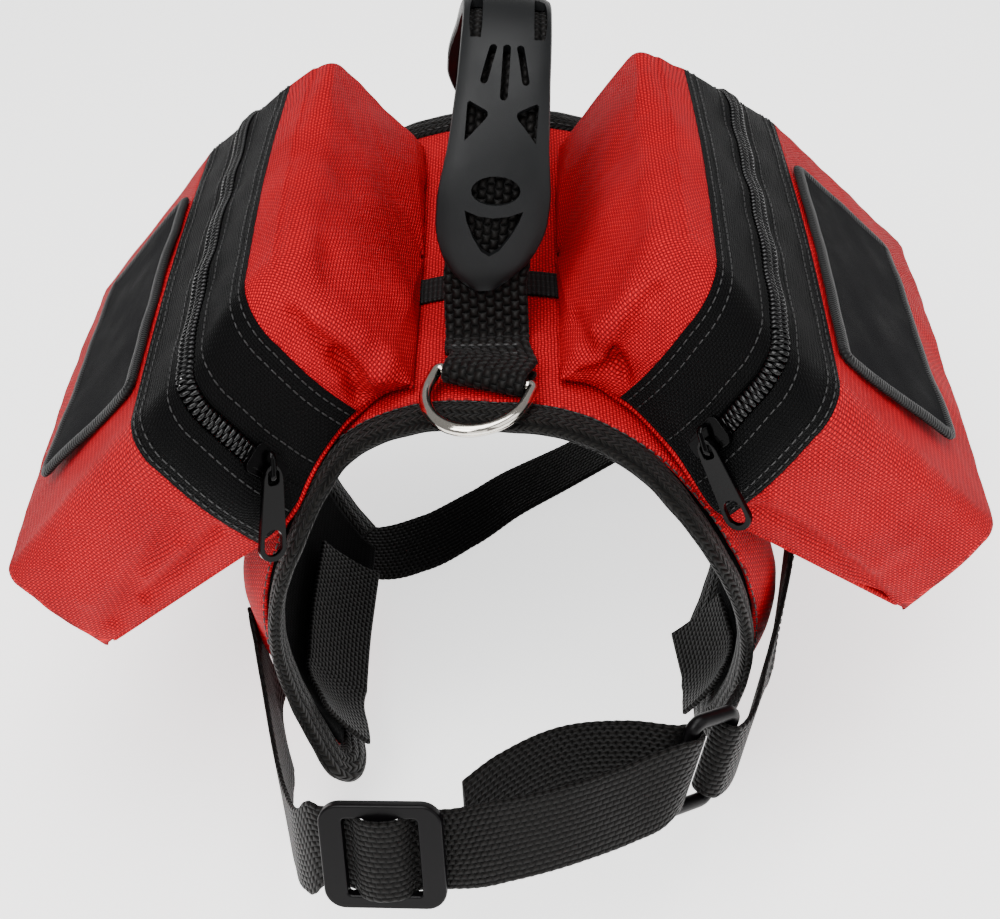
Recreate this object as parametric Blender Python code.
"""Small service dog vest with two zipped saddle bags, worn form without the dog.

The frame has +X to the right of someone who faces the dog, +Y to the tail and +Z up.
The origin lies on the middle of the dog's back, at the underside of the saddle.
All sizes below are in millimetres. Meshes are written in metres.
"""
import math

import bmesh
import bpy
import numpy as np
from mathutils import Vector

MM = 0.001                    # metres in a millimetre
GAP = 0.3                     # clearance kept between pieces that touch

# Trunk that the vest is worn on
TRUNK_FRONT_HALF_WIDTH = 66.5
TRUNK_HALF_WIDTH = 81.0
TRUNK_RADIUS_HIGH = 70.0      # half height of the trunk's section
TRUNK_REAR_RISE = 5.0         # the back climbs towards the tail
NECK_SHIFT = 3.5              # the neck opening sits a little to the right

# Vest body
SADDLE_THICKNESS = 2.0
LINING_THICKNESS = 1.2
REAR_EDGE_Y = 84.0
BINDING_WIDTH = 11.0
BINDING_THICKNESS = 4.4
LEFT_WRAP = 140.0             # degrees from the spine down to the panel's lower edge
RIGHT_WRAP = 134.0

# Webbing
WEB_WIDTH = 25.4
WEB_THICKNESS = 1.6
RIBBON_WIDTH = 10.0

# Saddle bags, in their own lengths: down the slope, out from the vest, along the dog
BAG_DROP = 117.0
BAG_SLOPE = math.radians(37.2)
BAG_ROOT = (30.0, 4.6)        # place in X and Z of the top of a bag's back panel
BAG_WALL = 1.5
BAG_FRONT_TOP_Y = -67.0
BAG_FRONT_LOW_Y = {-1: -103.0, 1: -100.0}
BAG_REAR_TOP_Y = {-1: 63.0, 1: 58.0}
BAG_TOP_DROP = -6.0           # the top shell swells over the saddle towards the spine
BAG_FOOT = 15.0               # drop above which the back panel curves down to the saddle
BAG_FOOT_DEPTH = 6.6
BAG_SWELL = 1.5
BAG_REAR_LOW_Y = {-1: 44.0, 1: 50.0}
ZIP_IN = 10.0                 # drop of the seam between top shell and zip tape
ZIP_OUT = 47.0                # drop of the seam between zip tape and outer shell
COIL_WIDTH = 6.0
COIL_HEIGHT = 2.6
PATCH_LENGTH = 100.0
PATCH_WIDTH = 48.0
PATCH_FRONT_Y = -78.0
PATCH_THICKNESS = 2.6

# Handle
HANDLE_FOOT_Z = 17.0
HANDLE_LEAN = 0.17            # the arch leans to the right
RIBBON_Y = -22.0

# Metal and plastic
D_PLACE = (0.0, -70.0, 7.9)   # middle of the D-ring's bar
D_WIRE = 3.6
D_INNER_WIDTH = 26.4
D_DEPTH = 23.0
D_YAW = math.radians(-20.0)
RING_BAR = 4.4
PULL_LENGTH = 28.0
PULL_WIDTH = 8.4
PULL_THICKNESS = 1.7

COLOURS = {
    "red_canvas": ((0.62, 0.012, 0.018), 0.78, 0.0),
    "black_webbing": ((0.018, 0.016, 0.015), 0.82, 0.0),
    "black_binding": ((0.014, 0.012, 0.012), 0.85, 0.0),
    "black_lining": ((0.008, 0.008, 0.009), 0.9, 0.0),
    "zip_tape": ((0.012, 0.012, 0.013), 0.75, 0.0),
    "zip_coil": ((0.008, 0.008, 0.008), 0.45, 0.0),
    "patch_felt": ((0.014, 0.014, 0.016), 0.95, 0.0),
    "rubber_grip": ((0.03, 0.031, 0.034), 0.55, 0.0),
    "plastic_black": ((0.012, 0.012, 0.013), 0.4, 0.0),
    "lacquered_metal": ((0.01, 0.01, 0.011), 0.25, 0.6),
    "nickel": ((0.72, 0.69, 0.66), 0.16, 1.0),
}


def clear_objects():
    """Remove every object that the file opened with."""
    for item in list(bpy.data.objects):
        bpy.data.objects.remove(item, do_unlink=True)


def material(name):
    """Return the named material, made once."""
    found = bpy.data.materials.get(name)
    if found:
        return found
    colour, roughness, metallic = COLOURS[name]
    made = bpy.data.materials.new(name)
    made.use_nodes = True
    shader = made.node_tree.nodes["Principled BSDF"]
    shader.inputs["Base Color"].default_value = (*colour, 1.0)
    shader.inputs["Roughness"].default_value = roughness
    shader.inputs["Metallic"].default_value = metallic
    made.diffuse_color = (*colour, 1.0)
    return made


def add_object(name, points, faces, finish, pivot=(0.0, 0.0, 0.0)):
    """Make one named object from points in millimetres; its origin is the pivot."""
    mesh = bpy.data.meshes.new(name)
    origin = np.array(pivot, dtype=float)
    places = [tuple(p) for p in (np.asarray(points, dtype=float) - origin) * MM]
    mesh.from_pydata(places, [], faces)
    mesh.materials.append(material(finish))
    shape = bmesh.new()
    shape.from_mesh(mesh)
    bmesh.ops.recalc_face_normals(shape, faces=shape.faces)
    shape.to_mesh(mesh)
    shape.free()
    mesh.shade_smooth()
    mesh.set_sharp_from_angle(angle=math.radians(35.0))
    item = bpy.data.objects.new(name, mesh)
    item.location = Vector(origin * MM)
    bpy.context.scene.collection.objects.link(item)
    return item


def unit(vectors):
    """Scale vectors along the last axis to length one."""
    size = np.linalg.norm(vectors, axis=-1, keepdims=True)
    return vectors / np.maximum(size, 1e-9)


def smooth_step(value):
    """Ease from 0 to 1 as value goes from 0 to 1."""
    t = np.clip(value, 0.0, 1.0)
    return t * t * (3.0 - 2.0 * t)


def spline(rows, count):
    """Read a smooth curve through rows of numbers at evenly spaced lengths."""
    rows = np.array(rows, dtype=float)
    step = np.linalg.norm(np.diff(rows[:, :3], axis=0), axis=1)
    knot = np.concatenate([[0.0], np.cumsum(step)])
    slope = np.gradient(rows, knot, axis=0)
    places = np.linspace(0.0, knot[-1], count)
    index = np.clip(np.searchsorted(knot, places, side="right") - 1, 0, len(knot) - 2)
    span = (knot[index + 1] - knot[index])[:, None]
    t = ((places - knot[index])[:, None]) / span
    first = (2 * t**3 - 3 * t**2 + 1) * rows[index] + (t**3 - 2 * t**2 + t) * span * slope[index]
    second = (3 * t**2 - 2 * t**3) * rows[index + 1] + (t**3 - t**2) * span * slope[index + 1]
    return first + second


def grid_normals(grid):
    """Normals of a grid of points, from its rows and columns."""
    along = np.gradient(grid, axis=0)
    across = np.gradient(grid, axis=1)
    return unit(np.cross(along, across))


def wall(name, low, high, finish):
    """Close two grids of points to one wall of cloth."""
    rows, columns = low.shape[:2]
    points = np.concatenate([low.reshape(-1, 3), high.reshape(-1, 3)])
    top = rows * columns
    faces = []
    for r in range(rows - 1):
        for c in range(columns - 1):
            a = r * columns + c
            b = a + 1
            d = a + columns
            e = d + 1
            faces.append((a, b, e, d))
            faces.append((top + a, top + d, top + e, top + b))
    rim = list(range(columns))
    rim += [r * columns + columns - 1 for r in range(1, rows)]
    rim += [(rows - 1) * columns + c for c in range(columns - 2, -1, -1)]
    rim += [r * columns for r in range(rows - 2, 0, -1)]
    for a, b in zip(rim, rim[1:] + rim[:1]):
        faces.append((b, a, top + a, top + b))
    return add_object(name, points, faces, finish)


def sheet(name, grid, thickness, finish, raise_by=0.0):
    """Close a grid of points to a wall that grows along the grid's normals."""
    normals = grid_normals(grid)
    return wall(name, grid + normals * raise_by, grid + normals * (raise_by + thickness), finish)


def sweep(name, centres, sides, ups, section, finish, closed=False, pivot=(0.0, 0.0, 0.0)):
    """Sweep a section of (side, up) pairs along centres; the ends are capped."""
    section = np.asarray(section, dtype=float)
    if section.ndim == 2:
        section = np.repeat(section[None], len(centres), axis=0)
    rings = centres[:, None] + sides[:, None] * section[..., :1] + ups[:, None] * section[..., 1:]
    count = rings.shape[1]
    points = rings.reshape(-1, 3)
    faces = []
    last = len(centres) if closed else len(centres) - 1
    for r in range(last):
        n = (r + 1) % len(centres)
        for k in range(count):
            m = (k + 1) % count
            faces.append((r * count + k, r * count + m, n * count + m, n * count + k))
    if not closed:
        faces.append(tuple(range(count - 1, -1, -1)))
        faces.append(tuple((len(centres) - 1) * count + k for k in range(count)))
    return add_object(name, points, faces, finish, pivot)


def oval(half_width, half_height, count, shoulders=0.75):
    """Points round an oval section; shoulders below 1 fill its corners, 1 is a true oval."""
    turns = np.linspace(0.0, 2.0 * math.pi, count, endpoint=False) + math.pi / count
    x = np.sign(np.cos(turns)) * np.abs(np.cos(turns)) ** shoulders * half_width
    y = np.sign(np.sin(turns)) * np.abs(np.sin(turns)) ** shoulders * half_height
    return np.stack([x, y], axis=1)


def ruled_frames(centres, rulings):
    """Side and up vectors of cloth whose width lies along given rulings.

    The side vectors grow where a ruling is slanted, so that the cloth keeps its width.
    """
    tangent = unit(np.gradient(centres, axis=0))
    side = unit(np.asarray(rulings, dtype=float))
    up = np.cross(side, tangent)
    slant = np.linalg.norm(up, axis=1, keepdims=True)
    return side / slant, up / slant


def strap(name, rows, count, finish="black_webbing", width=WEB_WIDTH, thickness=WEB_THICKNESS):
    """Flat webbing along rows of (x, y, z, side x, side y, side z)."""
    curve = spline(rows, count)
    centres = curve[:, :3]
    side, up = ruled_frames(centres, curve[:, 3:6])
    half = width / 2.0
    flat = thickness / 2.0
    section = [(-half, -flat), (half, -flat), (half, flat), (-half, flat)]
    return sweep(name, centres, side, up, section[::-1], finish)


# The trunk and the vest body on it


def trunk_half(side, y):
    """Half width of one side of the trunk at a place along the dog."""
    widen = smooth_step((y + 116.0) / 34.0)
    shift = NECK_SHIFT * (1.0 - smooth_step((y + 110.0) / 60.0))
    return (TRUNK_FRONT_HALF_WIDTH + (TRUNK_HALF_WIDTH - TRUNK_FRONT_HALF_WIDTH) * widen
            + side * shift)


def trunk_rise(y):
    """How far the back has climbed at a place along the dog."""
    return TRUNK_REAR_RISE * smooth_step(y / REAR_EDGE_Y)


def trunk(angle, y, lift=0.0):
    """Point on the trunk; angle in degrees from the spine, lift along the normal."""
    angle, y = np.broadcast_arrays(np.asarray(angle, dtype=float), np.asarray(y, dtype=float))
    turn = np.radians(angle)
    half = trunk_half(np.sign(np.sin(turn)), y)
    normal = unit(np.stack([np.sin(turn) / half, np.zeros_like(turn),
                            np.cos(turn) / TRUNK_RADIUS_HIGH], axis=-1))
    x = half * np.sin(turn)
    z = TRUNK_RADIUS_HIGH * (np.cos(turn) - 1.0) + trunk_rise(y)
    return np.stack([x, y, z], axis=-1) + normal * np.asarray(lift)[..., None]


NECK_EDGE = {                 # angle from the spine: place of the neck edge along the dog
    "left": ((0, -87), (15, -84), (28, -86), (38, -96), (50, -105), (70, -110), (90, -113),
             (112, -121), (122, -125), (129, -122), (135, -106), (140, -82)),
    "right": ((0, -87), (15, -89), (30, -97), (42, -105), (56, -111), (75, -114), (90, -115),
              (106, -117), (116, -117), (124, -112), (130, -101), (134, -88)),
}
REAR_EDGE = {                 # angle from the spine: place of the rear edge along the dog
    "left": ((0, 84), (45, 83), (62, 78), (78, 66), (92, 52), (108, 36), (122, 20), (140, 3)),
    "right": ((0, 84), (45, 83), (62, 78), (78, 68), (92, 58), (104, 46), (112, -8),
              (119, -38), (126, -50), (134, -62)),
}
EDGE_HALF_WIDTH = 77.0         # half width used to measure along the section
BODY_SHARES = np.array([0.0, 0.035, 0.07, 0.11, 0.15, 0.2, 0.26, 0.34, 0.45, 0.58, 0.72,
                        0.87, 1.0])
LOW_EDGE = {                  # place along the dog: angle of the lobe's lower edge
    "left": ((-108, 131), (-98, 134.5), (-82, 138.5), (-26, 140)),
    "right": ((-103, 127), (-97, 130), (-88, 133), (-64, 134)),
}
LOBE_ANGLES = (0, 10, 20, 30, 40, 50, 60, 70, 80, 90, 98, 104, 109, 113.5, 118, 122, 126,
               130, 133.5, 136.7)


def arc_length(angle):
    """Length round the trunk from the spine to an angle, along the section."""
    turns = np.radians(np.linspace(0.0, 150.0, 61))
    step = np.hypot(EDGE_HALF_WIDTH * np.cos(turns), TRUNK_RADIUS_HIGH * np.sin(turns))
    length = np.concatenate([[0.0], np.cumsum((step[1:] + step[:-1]) / 2 * np.diff(turns))])
    return np.sign(angle) * np.interp(np.abs(angle), np.degrees(turns), length)


def arc_angle(length):
    """Angle from the spine at a length round the trunk."""
    angles = np.linspace(-150.0, 150.0, 301)
    return np.interp(length, arc_length(angles), angles)


def edge_curve(edges, count):
    """Smooth edge as rows of (length round the trunk, place along the dog)."""
    rows = [(-angle, y) for angle, y in reversed(edges["left"][1:])] + list(edges["right"])
    rows = np.array(rows, dtype=float)
    lengths = arc_length(rows[:, 0])
    flat = np.stack([lengths, rows[:, 1], np.zeros(len(rows))], axis=1)
    return spline(flat, count)[:, :2]


def inset_edge(edges, way, inset, angles):
    """Place along the dog of the cloth's edge, everywhere an inset away from the edge."""
    curve = edge_curve(edges, 400)
    places = []
    for length in arc_length(np.asarray(angles, dtype=float)):
        near = np.abs(curve[:, 0] - length) < inset
        drop = np.sqrt(inset**2 - (curve[near, 0] - length) ** 2)
        reach = curve[near, 1] * way - drop
        places.append(way * reach.min())
    return np.array(places)


def body_angles():
    """Angles of the vest body's columns from its left lower edge to its right one."""
    left = [-angle for angle in LOBE_ANGLES if angle < LEFT_WRAP - 2.0] + [0.5 - LEFT_WRAP]
    right = [angle for angle in LOBE_ANGLES if angle < RIGHT_WRAP - 2.0] + [RIGHT_WRAP - 0.5]
    return np.array(sorted(left) + right[1:])


def body_grid(inset, lift):
    """Grid on the trunk between the neck edge and the rear edge."""
    angles = body_angles()
    starts = inset_edge(NECK_EDGE, -1.0, inset, angles)
    ends = inset_edge(REAR_EDGE, 1.0, inset, angles)
    return np.array([trunk(a, start + max(end - start, 2.0) * BODY_SHARES, lift)
                     for a, start, end in zip(angles, starts, ends)])


def build_body():
    """Red saddle with its side lobes, black lining, and the bindings of both edges."""
    inset = BINDING_WIDTH + GAP + 0.1
    lift = LINING_THICKNESS + GAP
    wall("saddle_panel", body_grid(inset, lift), body_grid(inset, lift + SADDLE_THICKNESS),
         "red_canvas")
    wall("saddle_lining", body_grid(inset, 0.0), body_grid(inset, LINING_THICKNESS),
         "black_lining")
    middle = BINDING_WIDTH / 2.0
    section = oval(middle - 0.3, BINDING_THICKNESS / 2.0, 8)
    for name, edges, way in (("neck_binding", NECK_EDGE, 1.0), ("rear_binding", REAR_EDGE, -1.0)):
        curve = edge_curve(edges, 52)
        run = unit(np.gradient(curve, axis=0))
        inward = np.stack([-run[:, 1], run[:, 0]], axis=1) * way
        curve = curve + inward * middle
        angles = arc_angle(curve[:, 0])
        centres = trunk(angles, curve[:, 1], np.full(len(curve), BINDING_THICKNESS / 2 + 0.05))
        lifted = trunk(angles, curve[:, 1], np.full(len(curve), BINDING_THICKNESS))
        up = unit(lifted - centres)
        tangent = unit(np.gradient(centres, axis=0))
        side = unit(np.cross(tangent, up))
        sweep(name, centres, side, up, section, "black_binding")


SIDE_WEB_SHARES = np.array([0.0, 0.06, 0.12, 0.18, 0.25, 0.32, 0.4, 0.55, 0.75, 1.0])


def build_side_webbing():
    """Webbing sewn inside each lower edge, which the girth strap pulls on."""
    reach = math.degrees(WEB_WIDTH / TRUNK_RADIUS_HIGH)
    for side, way in (("left", -1.0), ("right", 1.0)):
        table = np.array(LOW_EDGE[side], dtype=float)
        rows = []
        for y in table[0, 0] + (table[-1, 0] - table[0, 0]) * SIDE_WEB_SHARES:
            low = np.interp(y, table[:, 0], table[:, 1])
            angles = np.linspace(low, low - reach, 6) * way
            rows.append([trunk(angles, y, -3 * GAP), trunk(angles, y, -3 * GAP - WEB_THICKNESS)])
        grid = np.array(rows)
        wall("side_webbing_" + side, grid[:, 1], grid[:, 0], "black_webbing")


# The saddle bags


def bag_frame(side, p, q, y):
    """Turn a bag's own lengths into a place; side is -1 for left and 1 for right."""
    down = (math.cos(BAG_SLOPE), -math.sin(BAG_SLOPE))
    out = (math.sin(BAG_SLOPE), math.cos(BAG_SLOPE))
    x = BAG_ROOT[0] + down[0] * p + out[0] * q
    z = BAG_ROOT[1] + down[1] * p + out[1] * q
    return np.stack(np.broadcast_arrays(side * x, y, z), axis=-1)


def bag_front(side, p):
    """Front of a bag along the dog at a drop p."""
    low = BAG_FRONT_LOW_Y[side]
    return BAG_FRONT_TOP_Y + (low - BAG_FRONT_TOP_Y) * smooth_step(p / 43.0)


def bag_rear(p, side):
    """Rear of a bag along the dog at a drop p."""
    share = np.clip(p / BAG_DROP, 0.0, 1.0)
    top = BAG_REAR_TOP_Y[side]
    return top + (BAG_REAR_LOW_Y[side] - top) * share + 5.0 * np.sin(math.pi * share)


def bag_base(side, p, y):
    """Where the back panel lies over the bag's straight plane; it never enters the saddle."""
    p, y = np.broadcast_arrays(np.asarray(p, dtype=float), np.asarray(y, dtype=float))
    reach = np.clip((BAG_FOOT - p) / (BAG_FOOT - BAG_TOP_DROP), 0.0, 1.2)
    plane = -BAG_FOOT_DEPTH * reach**2
    lift = LINING_THICKNESS + SADDLE_THICKNESS + 2 * GAP + BAG_WALL + 0.35
    lift = lift + (BINDING_THICKNESS - 3.2) * smooth_step((-68.0 - y) / 6.0)
    wide = trunk_half(side, y) + lift
    high = TRUNK_RADIUS_HIGH + lift
    x = BAG_ROOT[0] + math.cos(BAG_SLOPE) * p
    z = BAG_ROOT[1] - math.sin(BAG_SLOPE) * p + TRUNK_RADIUS_HIGH - trunk_rise(y)
    a = (math.sin(BAG_SLOPE) / wide) ** 2 + (math.cos(BAG_SLOPE) / high) ** 2
    b = x * math.sin(BAG_SLOPE) / wide**2 + z * math.cos(BAG_SLOPE) / high**2
    c = (x / wide) ** 2 + (z / high) ** 2 - 1.0
    meets = b * b - a * c
    over = np.where(meets > 0, (-b + np.sqrt(np.maximum(meets, 0.0))) / a, -99.0)
    return np.maximum(plane, over)


BAG_DEPTH = (                 # drop, depth from the back panel to the outer face
    (-6, 46), (0, 46.5), (10, 48), (28, 50), (47, 50.5), (70, 47), (95, 43), (117, 39.5),
)


def bag_depth(p):
    """Depth of a bag from its back panel to its outer face at a drop p."""
    table = np.array(BAG_DEPTH, dtype=float)
    return np.interp(p, table[:, 0], table[:, 1])


def bag_corner(p, walk):
    """Radius of a bag's corners at a drop p; crisp at the bottom and at the top rear."""
    share = np.clip(p / BAG_DROP, 0.0, 1.0)
    front = 17.0 - 12.0 * share
    rear = 5.0 + 8.0 * np.sin(math.pi * share)
    return np.where(walk < 0.5, front, rear)


def bag_face_ends(side, p):
    """Places along the dog where the flat of the outer face begins and ends."""
    return bag_front(side, p) + bag_corner(p, 0.0), bag_rear(p, side) - bag_corner(p, 1.0)


def bag_face(side, p, y):
    """Distance of the outer face from the bag's straight plane."""
    start, end = bag_face_ends(side, p)
    middle = np.clip((y - start) / (end - start), 0.0, 1.0)
    return bag_depth(p) + BAG_SWELL * np.sin(math.pi * middle)


def bag_walk(side, p, walk):
    """Point of the bag's girth at drop p; walk goes 0 to 1 from front to rear."""
    p, walk = np.broadcast_arrays(np.asarray(p, dtype=float), np.asarray(walk, dtype=float))
    front = bag_front(side, p)
    rear = bag_rear(p, side)
    start = bag_base(side, p, np.where(walk < 0.5, front, rear)) + GAP + 0.25
    depth = bag_depth(p)
    radius = bag_corner(p, walk)
    # The walk has a front side, a corner, the outer face, a corner and a rear side
    end_side = np.clip(walk / 0.2, 0.0, 1.0)
    start_side = np.clip((1.0 - walk) / 0.2, 0.0, 1.0)
    q = start + (depth - radius - start) * np.minimum(end_side, start_side)
    y = np.where(walk < 0.5, front, rear)
    first = np.clip((walk - 0.2) / 0.1, 0.0, 1.0) * math.pi / 2
    last = np.clip((0.8 - walk) / 0.1, 0.0, 1.0) * math.pi / 2
    turn = np.where(walk < 0.5, first, last)
    q = q + radius * np.sin(turn)
    inward = np.where(walk < 0.5, 1.0, -1.0) * radius * (1.0 - np.cos(turn))
    middle = np.clip((walk - 0.3) / 0.4, 0.0, 1.0)
    face_start, face_end = bag_face_ends(side, p)
    y = np.where((walk > 0.3) & (walk < 0.7), face_start + (face_end - face_start) * middle,
                 y + inward)
    q = q + BAG_SWELL * np.sin(math.pi * middle)
    y = y - 2.0 * np.sin(math.pi * np.clip(walk / 0.2, 0.0, 1.0))
    return p, q, y


WALK = np.array([0.0, 0.06, 0.13, 0.2, 0.225, 0.25, 0.275, 0.3, 0.37, 0.44, 0.5, 0.56, 0.63, 0.7,
                 0.733, 0.766, 0.8, 0.9, 1.0])


def belt_grid(side, drops, walk=WALK):
    """Grid of points round a bag, one row for each drop."""
    rows = [bag_frame(side, *bag_walk(side, drop, walk)) for drop in drops]
    return np.array(rows)


INNER_BEND = 0.8               # least radius of the inner wall at a cover's edge


def cover_walls(side, drop, drops, shoulder, level):
    """Inner and outer grids of a half disc over a bag's end that turns over to a belt.

    Args: side of the dog, drop of the disc, drops of the belt rows, the shoulder's
    radius and the disc's own height over the drop.
    """
    rim = np.stack(bag_walk(side, drop, WALK), axis=-1)
    middle_y = (bag_front(side, drop) + bag_rear(drop, side)) / 2.0
    hub = np.array([drop, float(bag_base(side, drop, middle_y)) + GAP + 0.25, middle_y])
    into = math.copysign(BAG_WALL, drops[0] - drop)
    inward = hub[None] - rim
    reach = np.linalg.norm(inward[:, 1:], axis=1, keepdims=True)
    edge_share = np.clip((rim[:, 1:2] - hub[1]) / 12.0, 0.0, 1.0)
    soft = np.where(WALK[:, None] > 0.6, 0.45, 1.0)
    pull = np.minimum(shoulder * (0.25 + 0.75 * edge_share) * soft, reach * 0.4)
    inner = rim.copy()
    inner[:, 1:] += inward[:, 1:] / np.maximum(reach, 1e-6) * pull
    run = np.gradient(rim[:, 1:], axis=0)
    square = unit(np.stack([-run[:, 1], run[:, 0]], axis=1))
    square *= np.sign(np.sum(square * inward[:, 1:], axis=1, keepdims=True))
    sunk = np.sum(square * (inner - rim)[:, 1:], axis=1, keepdims=True)
    tuck = np.maximum(sunk - BAG_WALL, INNER_BEND)
    tall = abs(drops[0] - drop - level)
    bend = np.maximum(tall * edge_share[:, 0] - BAG_WALL, INNER_BEND)
    outer_rows = []
    inner_rows = []
    for share in (0.03, 0.4, 0.75):
        row = hub + (inner - hub) * share
        row[:, 0] = drop + level * edge_share[:, 0] * share
        outer_rows.append(row)
        inner_rows.append(row + np.array([into, 0.0, 0.0]))
    for turn in (0.0, 0.35, 0.7):
        swing = turn * math.pi / 2
        row = inner + (rim - inner) * math.sin(swing)
        fall = level + (drops[0] - drop - level) * (1 - math.cos(swing))
        row[:, 0] = drop + fall * edge_share[:, 0]
        outer_rows.append(row)
        wall_row = row.copy()
        wall_row[:, 0] = (drop + level * edge_share[:, 0] + into
                          + math.copysign(1.0, into) * bend * (1 - math.cos(swing)))
        wall_row[:, 1:] += square * (BAG_WALL + (tuck - sunk) * (1 - math.sin(swing)))
        inner_rows.append(wall_row)
    for belt in drops:
        row = np.stack(bag_walk(side, belt, WALK), axis=-1)
        outer_rows.append(row)
        inner_row = row.copy()
        inner_row[:, 1:] += square * BAG_WALL
        inner_rows.append(inner_row)
    low = np.array([bag_frame(side, r[:, 0], r[:, 1], r[:, 2]) for r in inner_rows])
    high = np.array([bag_frame(side, r[:, 0], r[:, 1], r[:, 2]) for r in outer_rows])
    return low, high


def build_bag(side, label):
    """One saddle bag: back panel, top shell, two zip tapes, coil, outer shell and patch."""
    flip = side < 0

    def laid(grid):
        """Order a grid so that its normals point out of the bag."""
        return grid[:, ::-1] if flip else grid

    drops = np.concatenate([[BAG_TOP_DROP + 2.4, -0.5, 4.0, 9.0, BAG_FOOT, 22.0, 29.0, 37.0],
                            np.linspace(45.0, BAG_DROP - 1.0, 4)])
    rows = []
    for drop in drops:
        ys = np.linspace(bag_front(side, drop), bag_rear(drop, side), 8)
        rows.append(bag_frame(side, drop, bag_base(side, drop, ys), ys))
    back = np.array(rows)
    sheet("bag_back_" + label, laid(back[::-1]), BAG_WALL, "red_canvas")

    top_drops = (1.0, ZIP_IN * 0.6, ZIP_IN - GAP / 2)
    wall("bag_top_" + label, *cover_walls(side, BAG_TOP_DROP, top_drops, 10.0, -1.5),
         "red_canvas")

    middle = (ZIP_IN + ZIP_OUT) / 2.0
    half_coil = COIL_WIDTH / 2.0
    inner = belt_grid(side, np.linspace(ZIP_IN + GAP / 2, middle - half_coil - GAP, 3))
    sheet("zip_tape_inner_" + label, laid(inner), 1.0, "zip_tape", raise_by=-1.0)
    outer = belt_grid(side, np.linspace(middle + half_coil + GAP, ZIP_OUT - GAP / 2, 3))
    sheet("zip_tape_outer_" + label, laid(outer), 1.0, "zip_tape", raise_by=-1.0)

    walk = np.linspace(0.02, 0.98, 40)
    centres = bag_frame(side, *bag_walk(side, middle, walk))
    below = bag_frame(side, *bag_walk(side, middle + 2.0, walk))
    tangent = unit(np.gradient(centres, axis=0))
    across = unit(below - centres)
    up = unit(np.cross(tangent, across)) * (-side)
    across = np.cross(up, tangent)
    section = oval(half_coil, COIL_HEIGHT / 2.0, 6)
    sweep("zip_coil_" + label, centres - up * 0.2, across, up, section[::-1], "zip_coil")

    low_drops = (BAG_DROP - 3.0, 92.0, 69.0, ZIP_OUT + GAP / 2)
    wall("bag_shell_" + label, *cover_walls(side, BAG_DROP, low_drops, 4.5, 0.0), "red_canvas")

    start = ZIP_OUT + 2.0
    rows = []
    for drop in np.linspace(start, start + PATCH_WIDTH, 6):
        y = np.linspace(0.0, PATCH_LENGTH, 9) + PATCH_FRONT_Y
        rows.append(bag_frame(side, drop, bag_face(side, drop, y), y))
    sheet("patch_" + label, laid(np.array(rows)), PATCH_THICKNESS, "patch_felt",
          raise_by=GAP + 0.15)


# Straps and hard pieces


def placed(frame, along, across, out):
    """Place from a local frame of origin, along, across and out vectors."""
    origin, a, b, n = frame
    return origin + a * along + b * across + n * out


def make_frame(origin, along, across):
    """Origin and three square unit vectors; across is kept, along is squared to it."""
    across = unit(np.array(across, dtype=float))
    along = np.array(along, dtype=float)
    along = unit(along - across * np.dot(along, across))
    return np.array(origin, dtype=float), along, across, np.cross(along, across)


def round_loop(length, width, radius, per_corner=4):
    """Points round a rectangle with round corners, anticlockwise."""
    points = []
    for corner in range(4):
        sign_a = 1 if corner in (0, 3) else -1
        sign_b = 1 if corner in (0, 1) else -1
        centre = (sign_a * (length / 2 - radius), sign_b * (width / 2 - radius))
        for k in range(per_corner):
            turn = math.pi / 2 * (corner + k / (per_corner - 1))
            points.append((centre[0] + radius * math.cos(turn), centre[1] + radius * math.sin(turn)))
    return points


def plate(name, outline, frame, low, high, finish, pivot=(0.0, 0.0, 0.0), bevel=0.5):
    """Flat plate of an anticlockwise outline between two levels, with eased edges."""
    centre = np.mean(outline, axis=0)
    rings = []
    for level, ease in ((low, bevel), (low + bevel, 0.0), (high - bevel, 0.0), (high, bevel)):
        ring = []
        for point in np.array(outline, dtype=float):
            away = point - centre
            spot = centre + away * (1.0 - ease / max(np.linalg.norm(away), 1e-6))
            ring.append(placed(frame, spot[0], spot[1], level))
        rings.append(ring)
    count = len(outline)
    faces = []
    for r in range(3):
        for k in range(count):
            m = (k + 1) % count
            faces.append((r * count + k, r * count + m, (r + 1) * count + m, (r + 1) * count + k))
    faces.append(tuple(range(count - 1, -1, -1)))
    faces.append(tuple(3 * count + k for k in range(count)))
    return add_object(name, np.array(rings).reshape(-1, 3), faces, finish, pivot)


def cut_hole(item, outline, frame, low, high):
    """Cut a hole of an anticlockwise outline through an object."""
    cutter = plate(item.name + "_cutter", outline, frame, low, high, "plastic_black",
                   bevel=0.0005)
    cutter.hide_render = True
    cutter.display_type = "WIRE"
    cut = item.modifiers.new("hole", "BOOLEAN")
    cut.operation = "DIFFERENCE"
    cut.object = cutter


CHEST_LEFT_ROWS = (           # centre x, y, z and the direction of the strap's width
    (-79.5, -95, -89.5, -0.20, 0.58, 0.80),
    (-78, -105, -93, -0.20, 0.57, 0.80),
    (-77, -115, -96.5, -0.18, 0.55, 0.82),
    (-73.5, -132, -99, -0.12, 0.50, 0.86),
    (-66, -152, -94, -0.05, 0.45, 0.89),
    (-57.5, -165.0, -86.2, 0.00, 0.42, 0.90),
)
STRAP_START = (-104.0, -86.0)  # angle and place along the dog where the strap is sewn
TAB_START = (89.0, -86.0)
SEWN_LIFT = LINING_THICKNESS + SADDLE_THICKNESS + 3 * GAP + WEB_THICKNESS / 2
CHEST_RIGHT_ROWS = (
    (2, -172, -73.5, 0.00, 0.42, 0.90),
    (20, -169, -71, 0.00, 0.40, 0.91),
    (38, -161.5, -72, 0.00, 0.38, 0.92),
)
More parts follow.
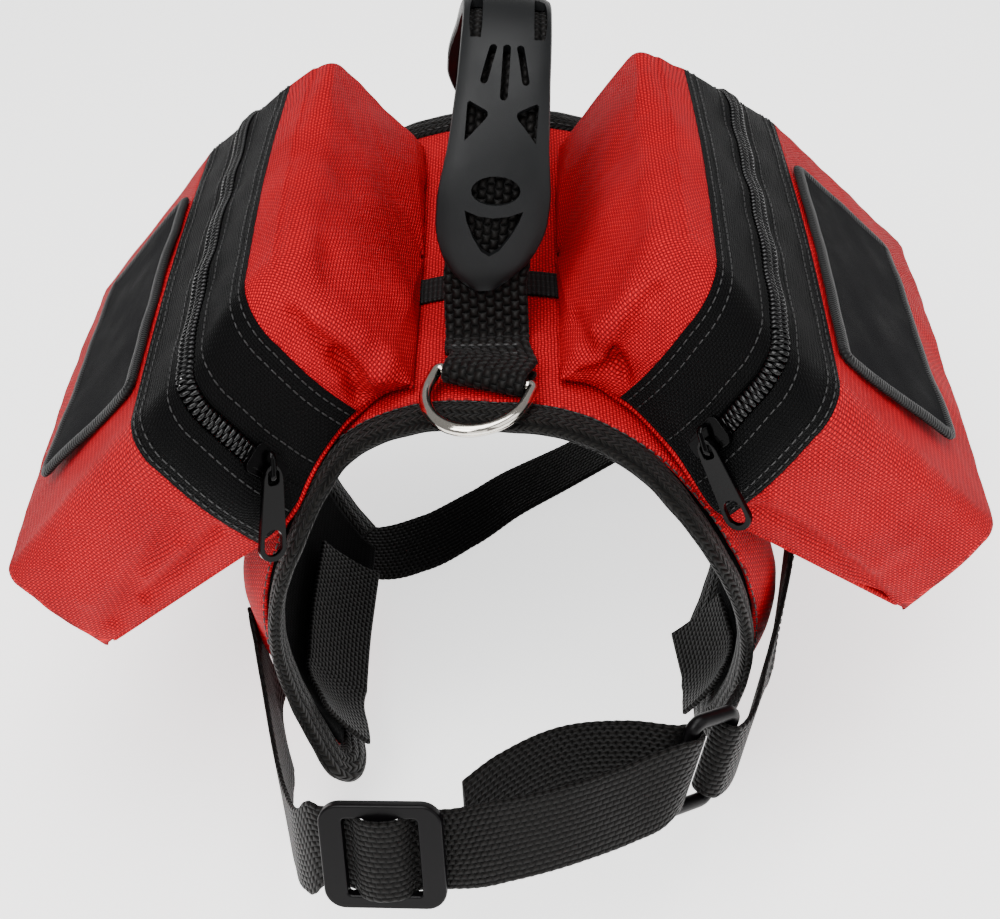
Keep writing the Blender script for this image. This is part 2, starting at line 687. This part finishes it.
CHEST_INNER_ROWS = (
    (36, -149.0, -70, 0.10, 0.38, 0.92),
    (19, -150, -70.5, 0.00, 0.40, 0.91),
    (2, -157, -73, 0.00, 0.42, 0.90),
    (-10, -165, -76, 0.00, 0.42, 0.90),
)
SLIDER_PLACE = (-33.0, -173.0, -77.5)
SLIDER_LENGTH = 35.0
SLIDER_HEIGHT = 33.0
SLIDER_THICKNESS = 3.4
RING_PLACE = (57.0, -147.5, -74.0)
RING_LENGTH = 21.0
RING_HEIGHT = 35.6
STRAP_WIDTH_WAY = (0.0, 0.42, 0.90)


def slider_frame():
    """Frame of the chest strap's slider: along the strap, across it and outwards."""
    origin, along, across, out = make_frame(SLIDER_PLACE, (1.0, -0.06, 0.05), STRAP_WIDTH_WAY)
    return origin, along, across, out if out[1] < 0 else -out


def ring_frame():
    """Frame of the chest ring: from its left bar to its right one, up and outwards."""
    return make_frame(RING_PLACE, (0.80, 0.60, -0.25), (0.27, 0.30, 0.90))


def build_chest():
    """Chest strap threaded through its slider and round the ring, and the right tab."""
    origin, along, across, out = slider_frame()
    frame = (origin, along, across, out)
    weave = ((-18.5, -4.2), (-14.0, -3.5), (-10.8, -3.1), (-8.4, -2.3), (-4.6, 1.9), (-1.5, 3.1),
             (1.5, 3.1), (4.6, 1.9), (8.4, -2.3), (10.8, -3.1), (14.0, -3.1), (18.5, -3.3))
    middle = [tuple(placed(frame, a, 0.0, n)) + STRAP_WIDTH_WAY for a, n in weave]
    r_origin, r_along, r_across, r_out = ring_frame()
    bar = r_origin - r_along * (RING_LENGTH / 2 - RING_BAR / 2)
    hug = RING_BAR / 2 + GAP + WEB_THICKNESS / 2 + 0.15
    way = tuple(r_across)
    fold = []
    for turn in (80, 50, 20, -10, -40, -70, -100):
        swing = math.radians(turn)
        spot = bar + (r_along * math.cos(swing) + r_out * math.sin(swing)) * hug
        fold.append(tuple(spot) + way)
    sewn = (tuple(trunk(*STRAP_START, SEWN_LIFT)) + (-0.30, 0.56, 0.78),)
    rows = sewn + CHEST_LEFT_ROWS + tuple(middle) + CHEST_RIGHT_ROWS + tuple(fold)
    strap("chest_strap", rows + CHEST_INNER_ROWS, 112)

    outline = round_loop(SLIDER_LENGTH, SLIDER_HEIGHT, 5.0)
    item = plate("chest_slider", outline, frame, -SLIDER_THICKNESS / 2, SLIDER_THICKNESS / 2,
                 "plastic_black", bevel=0.9)
    for shift in (-6.2, 6.2):
        hole = [(a + shift, b) for a, b in round_loop(8.4, 27.0, 1.2, 3)]
        cut_hole(item, hole, frame, -4.0, 4.0)

    loop = round_loop(RING_LENGTH - RING_BAR, RING_HEIGHT - RING_BAR, 3.0, 4)
    centres = np.array([placed(ring_frame(), a, b, 0.0) for a, b in loop])
    ups = np.repeat(r_out[None], len(centres), axis=0)
    tangent = unit(np.roll(centres, -1, axis=0) - np.roll(centres, 1, axis=0))
    sides = np.cross(tangent, ups)
    sweep("chest_ring", centres, sides, ups, oval(RING_BAR / 2, RING_BAR / 2, 8, 1.0)[::-1],
          "plastic_black", closed=True)

    bar = r_origin + r_along * (RING_LENGTH / 2 - RING_BAR / 2)
    fold = []
    for turn in (65, 95, 125, 155, 185, 215, 245, 275):
        swing = math.radians(turn)
        away = hug + (0.9 if turn > 200 else 0.2)
        spot = bar + (r_along * math.cos(swing) + r_out * math.sin(swing)) * away
        fold.append(tuple(spot) + way)
    outside = (tuple(trunk(*TAB_START, SEWN_LIFT + 0.5)) + (0.13, 0.50, 0.86),
               (85.8, -96, -74.5, 0.20, 0.48, 0.85), (82.2, -106, -78, 0.23, 0.44, 0.87),
               (76.5, -121, -80.5, 0.25, 0.38, 0.89))
    inside = ((64.4, -133.4, -79.5, 0.27, 0.30, 0.90), (68.0, -127.2, -81.2, 0.26, 0.34, 0.90))
    strap("chest_tab_right", outside + tuple(fold) + inside, 52)


GIRTH_ROWS = (                # angle round the trunk, place along the dog, lift off the trunk
    (-119.4, -20, 7.0), (-124.5, -17, 6.6), (-132, -11, 6.2), (-143, -6, 5.0), (-155, 5, 3.5),
    (-168, 20, 1.5), (-180, 33, 0.0), (-195, 43, -0.5), (-210, 48, -1.2), (-230, 47, -1.6),
    (-250, 45, -1.6), (-264, 44, -1.6),
)
BUCKLE_ANGLE = -112.0
BUCKLE_Y = -22.0


def build_girth():
    """Girth strap under the chest, its buckle, and the short tab that carries it."""
    rows = []
    for angle, y, lift in GIRTH_ROWS:
        wrapped = angle if angle >= -180 else angle + 360
        rows.append(tuple(trunk(wrapped, y, lift)) + (0.0, 1.0, 0.0))
    strap("girth_strap", rows, 34)
    seat = LINING_THICKNESS + SADDLE_THICKNESS + 2 * GAP
    lifts = {"prong": seat + 3.0, "socket": seat + 4.2}
    spots = {"prong": BUCKLE_ANGLE, "socket": BUCKLE_ANGLE + 15.0}
    frames = {}
    for name, angle in spots.items():
        here = trunk(angle, BUCKLE_Y, lifts[name])
        there = trunk(angle + 1.0, BUCKLE_Y, lifts[name])
        frames[name] = make_frame(here, there - here, (0.0, 1.0, 0.0))
    plate("girth_buckle_prong", round_loop(11.0, 33.0, 3.0), frames["prong"], -3.0, 3.0,
          "plastic_black", bevel=1.0)
    plate("girth_buckle_socket", round_loop(25.0, 33.0, 4.0), frames["socket"], -4.2, 4.2,
          "plastic_black", bevel=1.4)
    tab = [tuple(trunk(angle, BUCKLE_Y, lift)) + (0.0, 1.0, 0.0)
           for angle, lift in ((-86.2, 7.6), (-81, 5.8), (-75, 4.8), (-68, 4.7))]
    strap("girth_tab", tab, 8)


def build_handle():
    """Handle webbing along the spine, its moulded grip, and the ribbon under it."""
    foot = LINING_THICKNESS + GAP + SADDLE_THICKNESS + GAP + WEB_THICKNESS / 2
    side_view = (
        (-54, foot), (-51, foot), (-47.5, foot + 0.4), (-43.5, 7.6), (-40.5, 12.0),
        (-39.3, 14.3), (-38.0, 17.0), (-35.5, 24.0), (-32, 34.5), (-26, 47.0), (-16, 60.0), (-2, 70.5),
        (13, 75.5), (28, 73.5), (41, 65.0), (50, 53.0), (56, 39.0), (59.5, 26.0), (62, 16.5),
        (64.5, 11.0), (67.5, foot + 4.6), (71.5, foot + 4.8),
    )
    rows = []
    for y, z in side_view:
        lean = HANDLE_LEAN * max(z - HANDLE_FOOT_Z, 0.0)
        rows.append((lean, y, z, 1.0, 0.0, -0.12 * min(max(z - HANDLE_FOOT_Z, 0.0) / 30.0, 1.0)))
    strap("handle_webbing", rows, 44)

    curve = spline(rows[5:19], 37)
    centres = curve[:, :3]
    side, up = ruled_frames(centres, curve[:, 3:6])
    share = np.linspace(-1.0, 1.0, len(centres))
    widths = np.interp(np.abs(share), [0.0, 0.25, 0.48, 0.64, 0.76, 0.86, 0.94, 1.0],
                       [14.2, 14.6, 15.2, 16.8, 16.4, 13.4, 8.0, 2.5])
    sections = []
    for place, half in zip(np.abs(share), widths):
        lip = -1.1 if place < 0.72 else 1.2
        inner = min(13.2, half * 0.92)
        crown = 4.6 if half > 10.0 else 3.6
        sections.append([(half, lip), (half, 2.4), (half * 0.72, crown - 0.5),
                         (half * 0.3, crown), (-half * 0.3, crown), (-half * 0.72, crown - 0.5),
                         (-half, 2.4), (-half, lip), (-inner, lip), (-inner, 1.3),
                         (inner, 1.3), (inner, lip)])
    sweep("handle_grip", centres, side, up, np.array(sections), "rubber_grip")

    base = LINING_THICKNESS + GAP + SADDLE_THICKNESS + GAP
    ribbon = [tuple(trunk(angle, RIBBON_Y, base + 0.5)) + (0.0, 1.0, 0.0)
              for angle in np.linspace(-15.0, 15.0, 7)]
    strap("ribbon", ribbon, 9, width=RIBBON_WIDTH, thickness=1.0)


def d_frame():
    """Frame of the D-ring: along its bar, forward over the neck edge, and up."""
    along = (math.cos(D_YAW), math.sin(D_YAW), 0.0)
    forward = (math.sin(D_YAW), -math.cos(D_YAW), -0.02)
    return make_frame(D_PLACE, forward, along)


def build_d_ring():
    """D-ring of round wire in a folded webbing loop."""
    origin, forward, along, up = d_frame()
    if up[2] < 0:
        up = -up
    reach = D_INNER_WIDTH / 2 + D_WIRE / 2
    depth = D_DEPTH
    points = [(-reach + 1.5, 0.0)]
    points += [(x, 0.0) for x in np.linspace(-8.0, 8.0, 3)]
    points += [(reach - 1.5, 0.0), (reach, 1.5), (reach, 6.0)]
    for turn in np.linspace(0.0, math.pi, 11)[1:-1]:
        points.append((reach * math.cos(turn), 6.0 + (depth - 6.0) * math.sin(turn)))
    points += [(-reach, 6.0), (-reach, 1.5)]
    centres = np.array([origin + along * a + forward * f for a, f in points])
    ups = np.repeat(up[None], len(centres), axis=0)
    tangent = unit(np.roll(centres, -1, axis=0) - np.roll(centres, 1, axis=0))
    sides = np.cross(tangent, ups)
    sweep("d_ring", centres, sides, ups, oval(D_WIRE / 2, D_WIRE / 2, 8, 1.0)[::-1], "nickel",
          closed=True, pivot=D_PLACE)

    foot = LINING_THICKNESS + GAP + SADDLE_THICKNESS + GAP + WEB_THICKNESS / 2
    hug = D_WIRE / 2 + GAP + WEB_THICKNESS / 2
    bar_way = tuple(along)
    rows = [(2.9, -61.0, foot, 0.94, -0.34, 0.0)]
    for turn in (-90, -50, -10, 30, 70, 100):
        swing = math.radians(turn)
        spot = origin + (forward * math.cos(swing) + np.array((0, 0, 1.0)) * math.sin(swing)) * hug
        rows.append(tuple(spot) + bar_way)
    top = foot + WEB_THICKNESS + GAP
    rows += [(2.0, -64.0, 9.6, 0.95, -0.31, 0.0), (0.9, -57.5, top + 0.6, 0.99, -0.15, 0.0),
             (0.1, -53.0, top, 1.0, 0.0, 0.0), (0.0, -50.0, top, 1.0, 0.0, 0.0)]
    strap("d_ring_loop", rows, 26)


SLIDER_WALK = 0.09             # place of the zip slider along the bag's girth
PULL_WAYS = {                 # direction in which each zip pull hangs
    "left": (-0.10, -0.44, -0.89),
    "right": (0.38, -0.42, -0.82),
}


def build_zip(side, label):
    """Zip slider on the coil, its bridge and the pull that hangs from it."""
    drop = (ZIP_IN + ZIP_OUT) / 2.0
    here = bag_frame(side, *bag_walk(side, drop, SLIDER_WALK))
    ahead = bag_frame(side, *bag_walk(side, drop, SLIDER_WALK - 0.03))
    lower = bag_frame(side, *bag_walk(side, drop + 2.0, SLIDER_WALK))
    along = unit(ahead - here)
    normal = unit(np.cross(along, lower - here)) * side
    if normal[1] > 0:
        normal = -normal
    across = np.cross(normal, along)
    base = COIL_HEIGHT / 2.0 + GAP
    frame = (here, along, across, normal)
    outline = ((6.5, -2.2), (6.5, 2.2), (3.5, 3.8), (-1.0, 4.7), (-6.0, 4.9), (-6.0, -4.9),
               (-1.0, -4.7), (3.5, -3.8))
    plate("zip_slider_" + label, outline, frame, base, base + 2.0, "lacquered_metal", bevel=0.4)

    hang = unit(np.array(PULL_WAYS[label]))
    arch_way = unit(hang - normal * np.dot(hang, normal))
    arch_side = np.cross(normal, arch_way)
    stations = []
    for turn in np.linspace(0.0, math.pi, 7):
        stations.append(here + normal * (base + 2.0 + GAP + 0.35 + 3.3 * math.sin(turn) ** 0.7)
                        + arch_way * 4.4 * math.cos(turn))
    centres = np.array(stations)
    tangent = unit(np.gradient(centres, axis=0))
    sides = np.repeat(arch_side[None], len(centres), axis=0)
    ups = np.cross(tangent, sides)
    sweep("zip_bridge_" + label, centres, sides, ups, oval(0.9, 0.5, 6), "lacquered_metal")

    pivot = here + normal * (base + 2.0 + 2.1)
    across = unit(np.cross(hang, normal))
    pull_frame = (pivot, hang, across, np.cross(hang, across))
    half = PULL_WIDTH / 2.0
    end = [(PULL_LENGTH - half + half * math.cos(t), half * math.sin(t))
           for t in np.linspace(-math.pi / 2, math.pi / 2, 9)]
    outline = [(-0.8, -2.0), (1.5, -2.9), (6.0, -3.1), (12.0, -half)] + end
    outline += [(12.0, half), (6.0, 3.1), (1.5, 2.9), (-0.8, 2.0)]
    flat = PULL_THICKNESS / 2.0
    item = plate("zip_pull_" + label, outline, pull_frame, -flat, flat, "lacquered_metal",
                 pivot=pivot, bevel=0.35)
    slot = [(a + 3.0, b) for a, b in round_loop(4.4, 3.4, 1.0, 3)]
    cut_hole(item, slot, pull_frame, -3.0, 3.0)
    eye = [(PULL_LENGTH - 5.6 + 3.9 * math.cos(t), 2.7 * math.sin(t))
           for t in np.linspace(0.0, 2 * math.pi, 14, endpoint=False)]
    cut_hole(item, eye, pull_frame, -3.0, 3.0)


def main():
    """Build the whole vest."""
    clear_objects()
    build_body()
    build_side_webbing()
    for side, label in ((-1, "left"), (1, "right")):
        build_bag(side, label)
        build_zip(side, label)
    build_handle()
    build_d_ring()
    build_chest()
    build_girth()


main()
